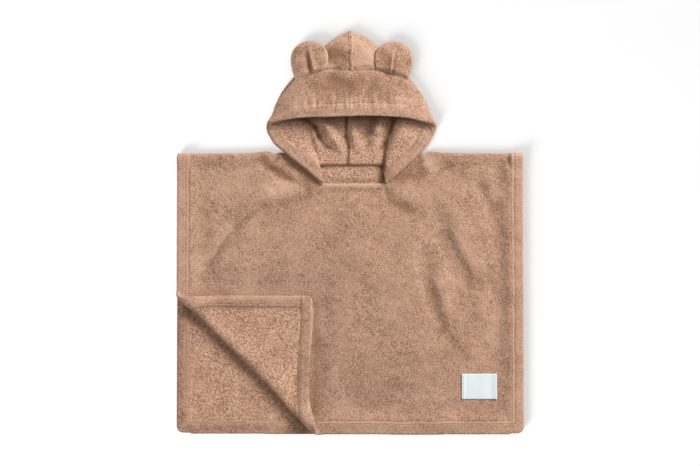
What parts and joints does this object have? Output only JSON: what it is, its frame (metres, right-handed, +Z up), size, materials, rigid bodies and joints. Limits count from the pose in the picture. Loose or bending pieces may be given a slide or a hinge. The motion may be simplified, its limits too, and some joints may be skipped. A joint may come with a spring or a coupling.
{
  "type": "hooded bath poncho",
  "caption": "Toddler's hooded bath poncho in plush fleece, laid flat, with round bear ears, a bare label and one front corner turned back.",
  "frame": {"origin": "centre of the poncho's outline on the surface it lies on", "axes": "+X to the viewer's right across the shoulders, +Y from the hem to the peak of the hood, +Z up off the surface"},
  "size_m": [0.6038, 0.7015, 0.0305],
  "materials": {
    "plush": "double-faced plush fleece: short velour nap outside, looped terry inside, matt with a soft sheen",
    "label": "woven satin ribbon, off-white, bare"
  },
  "bodies": {
    "root": {"body": "plush", "hood_left": "plush", "hood_right": "plush", "hood_band": "plush", "ear_left": "plush", "ear_right": "plush", "label": "label"}
  },
  "joints": []
}
